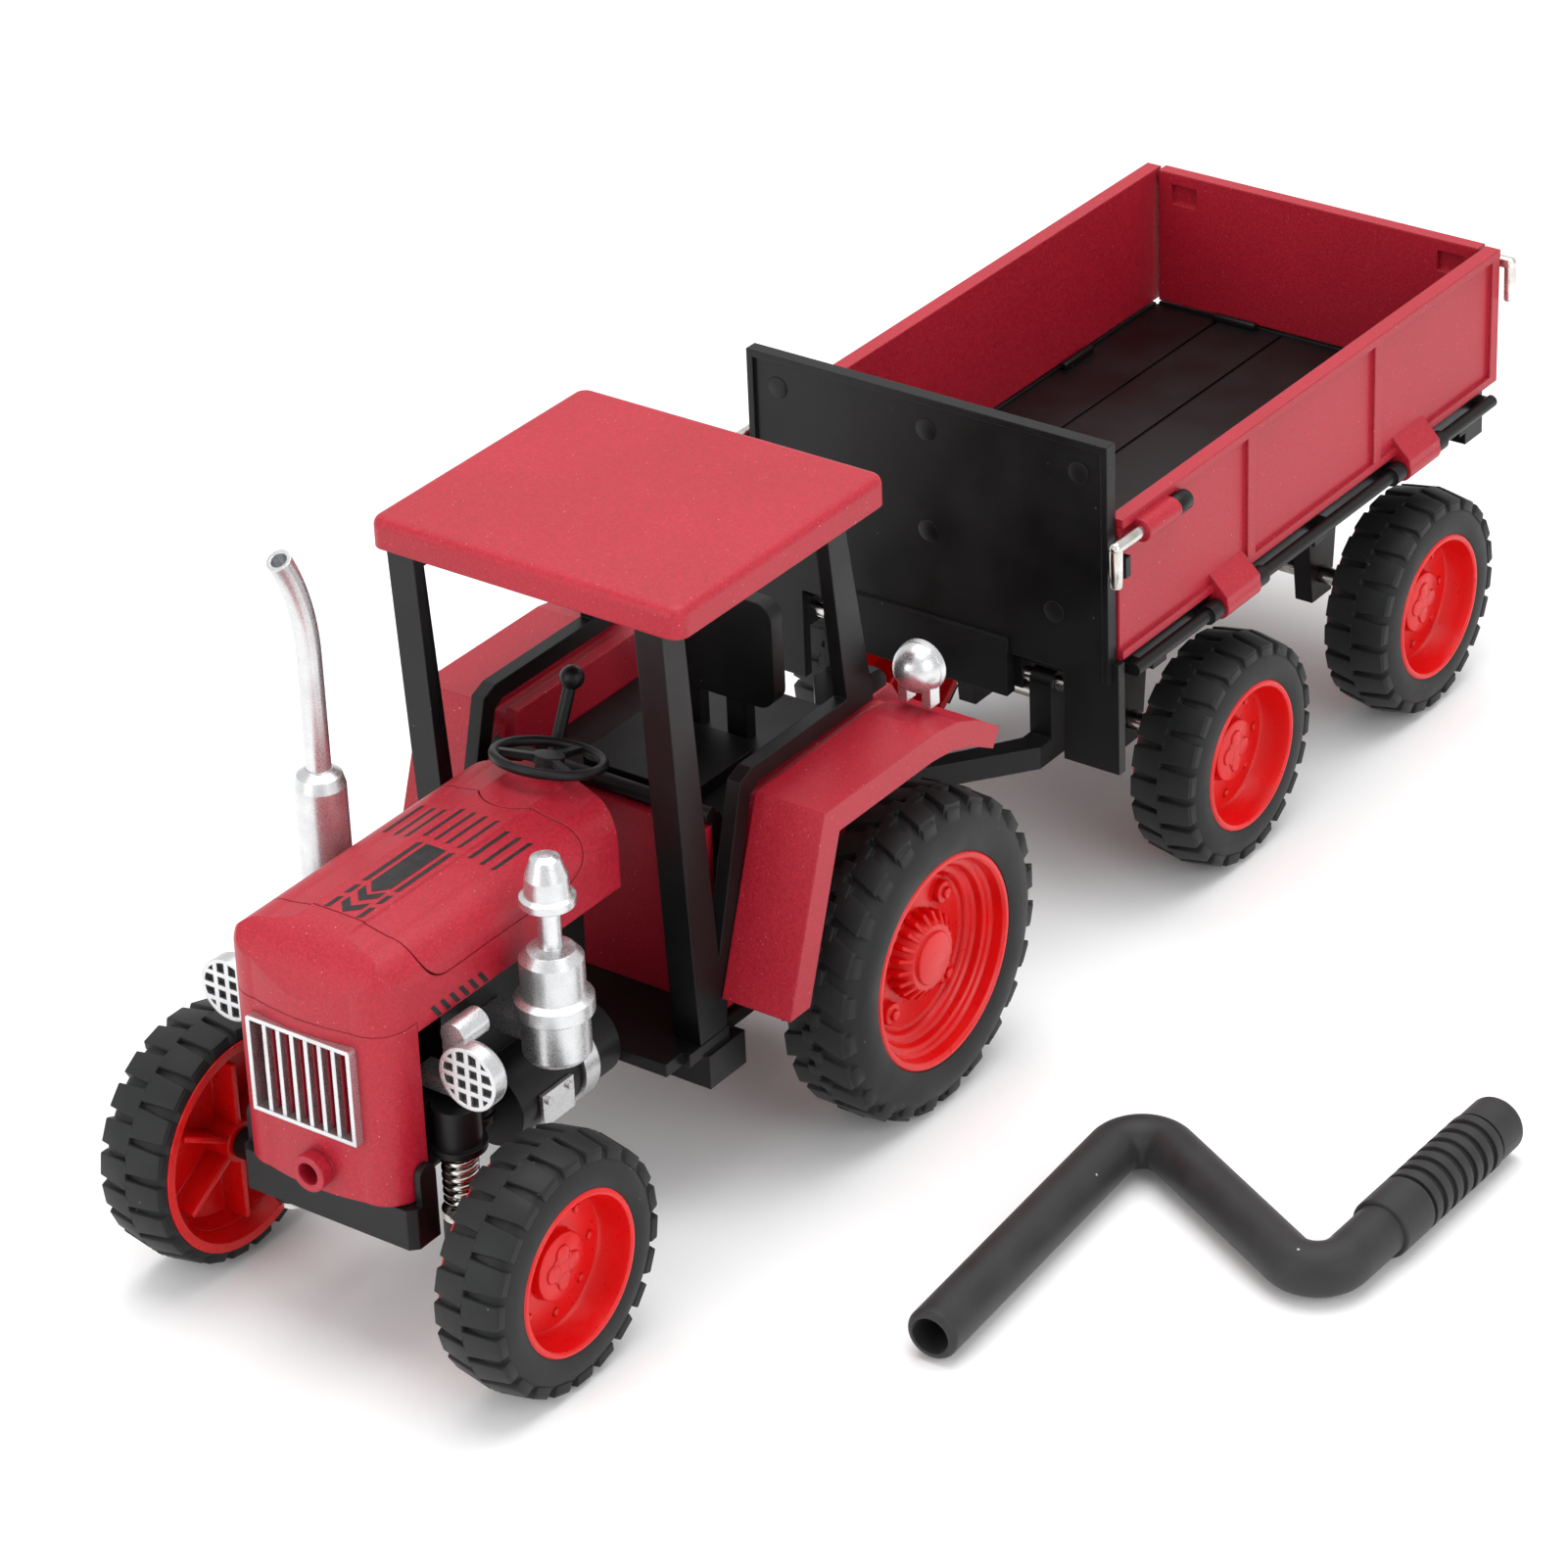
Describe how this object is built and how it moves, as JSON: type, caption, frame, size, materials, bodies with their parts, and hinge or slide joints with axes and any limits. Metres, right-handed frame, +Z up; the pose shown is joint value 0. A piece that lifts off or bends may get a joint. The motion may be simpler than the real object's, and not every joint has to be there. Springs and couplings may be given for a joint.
{
  "type": "toy tractor with trailer",
  "caption": "Toy farm tractor with open cab, opening bonnet and sprung steered front wheels, pulling a drop-side trailer, with a loose winding crank beside it.",
  "frame": {"origin": "bottom centre of the box round the whole set, on the floor", "axes": "+X is the direction of travel, +Y is the tractor's left, +Z is up"},
  "size_m": [0.2896, 0.1623, 0.1144],
  "materials": {
    "body_paint": "satin crimson paint with a fine sparkle",
    "rim_red": "glossy bright red plastic",
    "black_plastic": "fine-grained black plastic",
    "silver_plastic": "silver-grey metallic plastic",
    "bright_steel": "bright plated steel",
    "tyre_rubber": "matt dark grey rubber"
  },
  "bodies": {
    "tractor": {"chassis_frame": "black_plastic", "front_bumper": "black_plastic", "engine_block": "black_plastic", "engine_trim": "silver_plastic", "rear_axle_housing": "black_plastic", "hitch_bracket": "black_plastic", "cowl": "body_paint", "nose_casing": "body_paint", "grille": "silver_plastic", "radiator_core": "black_plastic", "headlight_left": "silver_plastic", "headlight_right": "silver_plastic", "tail_lamps": "silver_plastic", "air_cleaner": "silver_plastic", "muffler": "silver_plastic", "exhaust_pipe": "silver_plastic", "cab_frame": "black_plastic", "roof": "body_paint", "fender_left": "body_paint", "fender_right": "body_paint", "driver_deck": "black_plastic", "driver_box": "body_paint", "seat": "black_plastic", "steering_column": "black_plastic", "spring_left": "bright_steel", "spring_right": "bright_steel"},
    "bonnet": {"bonnet_lid": "body_paint"},
    "steering": {"steering_wheel": "black_plastic"},
    "gear": {"gear_lever": "black_plastic"},
    "leg_left": {"suspension_leg_left": "bright_steel"},
    "leg_right": {"suspension_leg_right": "bright_steel"},
    "steer_left": {"knuckle_left": "black_plastic"},
    "steer_right": {"knuckle_right": "black_plastic"},
    "front_wheel_left": {"front_rim_left": "rim_red", "front_tyre_left": "tyre_rubber"},
    "front_wheel_right": {"front_rim_right": "rim_red", "front_tyre_right": "tyre_rubber"},
    "rear_wheels": {"rear_axle": "bright_steel", "rear_rims": "rim_red", "rear_tyres": "tyre_rubber"},
    "drawbar": {"drawbar": "black_plastic"},
    "trailer": {"trailer_chassis": "black_plastic", "trailer_floor": "black_plastic", "headboard": "black_plastic", "hinge_rails": "black_plastic", "pitch_pins": "bright_steel"},
    "trailer_front_wheels": {"trailer_front_axle": "bright_steel", "trailer_front_rims": "rim_red", "trailer_front_tyres": "tyre_rubber"},
    "trailer_rear_wheels": {"trailer_rear_axle": "bright_steel", "trailer_rear_rims": "rim_red", "trailer_rear_tyres": "tyre_rubber"},
    "side_left": {"side_board_left": "body_paint"},
    "side_right": {"side_board_right": "body_paint"},
    "gate": {"tailgate": "body_paint"},
    "latch_front_left": {"latch_front_left": "bright_steel"},
    "latch_front_right": {"latch_front_right": "bright_steel"},
    "latch_rear_left": {"latch_rear_left": "bright_steel"},
    "latch_rear_right": {"latch_rear_right": "bright_steel"},
    "crank": {"crank": "black_plastic"}
  },
  "joints": [
    {"name": "bonnet_open", "type": "hinge", "parent": "tractor", "child": "bonnet", "pos_m": [0.1278, -0.04085, 0.07], "axis": [0, 1, 0], "range_deg": [0, 60]},
    {"name": "steering_turn", "type": "hinge", "parent": "tractor", "child": "steering", "pos_m": [0.079, -0.04085, 0.0716], "axis": [-0.2588, 0, 0.9659], "range_deg": [-120, 120]},
    {"name": "gear_tilt", "type": "hinge", "parent": "tractor", "child": "gear", "pos_m": [0.074, -0.04685, 0.0589], "axis": [0, 1, 0], "range_deg": [-10, 10]},
    {"name": "leg_left_travel", "type": "slide", "parent": "tractor", "child": "leg_left", "axis": [0, 0, 1], "range_m": [0, 0.0025], "stiffness_N_per_m": 400, "springref_m": -0.0025, "deforming": ["spring_left"]},
    {"name": "steer_left", "type": "hinge", "parent": "leg_left", "child": "steer_left", "pos_m": [0.1248, -0.02435, 0.02], "axis": [0, 0, 1], "range_deg": [-20, 20]},
    {"name": "front_wheel_left_spin", "type": "hinge", "parent": "steer_left", "child": "front_wheel_left", "pos_m": [0.1248, -0.00925, 0.02], "axis": [0, 1, 0], "continuous": true},
    {"name": "leg_right_travel", "type": "slide", "parent": "tractor", "child": "leg_right", "axis": [0, 0, 1], "range_m": [0, 0.0025], "stiffness_N_per_m": 400, "springref_m": -0.0025, "deforming": ["spring_right"]},
    {"name": "steer_right", "type": "hinge", "parent": "leg_right", "child": "steer_right", "pos_m": [0.1248, -0.05735, 0.02], "axis": [0, 0, 1], "range_deg": [-20, 20]},
    {"name": "front_wheel_right_spin", "type": "hinge", "parent": "steer_right", "child": "front_wheel_right", "pos_m": [0.1248, -0.07245, 0.02], "axis": [0, 1, 0], "continuous": true},
    {"name": "rear_wheels_spin", "type": "hinge", "parent": "tractor", "child": "rear_wheels", "pos_m": [0.0354, -0.04085, 0.0267], "axis": [0, 1, 0], "continuous": true},
    {"name": "hitch_yaw", "type": "hinge", "parent": "tractor", "child": "drawbar", "pos_m": [0.0084, -0.04085, 0.0318], "axis": [0, 0, 1], "range_deg": [-30, 30]},
    {"name": "trailer_pitch", "type": "hinge", "parent": "drawbar", "child": "trailer", "pos_m": [-0.0231, -0.04085, 0.0432], "axis": [0, 1, 0], "range_deg": [-6, 6]},
    {"name": "trailer_front_spin", "type": "hinge", "parent": "trailer", "child": "trailer_front_wheels", "pos_m": [-0.054, -0.04085, 0.02], "axis": [0, 1, 0], "continuous": true},
    {"name": "trailer_rear_spin", "type": "hinge", "parent": "trailer", "child": "trailer_rear_wheels", "pos_m": [-0.1152, -0.04085, 0.02], "axis": [0, 1, 0], "continuous": true},
    {"name": "side_left_drop", "type": "hinge", "parent": "trailer", "child": "side_left", "pos_m": [-0.0826, -0.00425, 0.0493], "axis": [-1, 0, 0], "range_deg": [0, 90]},
    {"name": "side_right_drop", "type": "hinge", "parent": "trailer", "child": "side_right", "pos_m": [-0.0826, -0.07745, 0.0493], "axis": [1, 0, 0], "range_deg": [0, 90]},
    {"name": "tailgate_drop", "type": "hinge", "parent": "trailer", "child": "gate", "pos_m": [-0.1428, -0.04085, 0.0493], "axis": [0, -1, 0], "range_deg": [0, 90]},
    {"name": "latch_front_left_turn", "type": "hinge", "parent": "side_left", "child": "latch_front_left", "pos_m": [-0.0296, -0.00425, 0.0733], "axis": [1, 0, 0], "range_deg": [0, 90]},
    {"name": "latch_front_right_turn", "type": "hinge", "parent": "side_right", "child": "latch_front_right", "pos_m": [-0.0296, -0.07745, 0.0733], "axis": [-1, 0, 0], "range_deg": [0, 90]},
    {"name": "latch_rear_left_turn", "type": "hinge", "parent": "gate", "child": "latch_rear_left", "pos_m": [-0.1428, -0.01085, 0.0733], "axis": [0, 1, 0], "range_deg": [0, 90]},
    {"name": "latch_rear_right_turn", "type": "hinge", "parent": "gate", "child": "latch_rear_right", "pos_m": [-0.1428, -0.07085, 0.0733], "axis": [0, 1, 0], "range_deg": [0, 90]},
    {"name": "crank_lift", "type": "slide", "parent": "tractor", "child": "crank", "axis": [0, 0, 1], "range_m": [0, 0.03]}
  ],
  "couplings": [
    {"joint": "steer_left", "follows": "steering_turn", "ratio": 0.16667},
    {"joint": "steer_right", "follows": "steering_turn", "ratio": 0.16667}
  ]
}
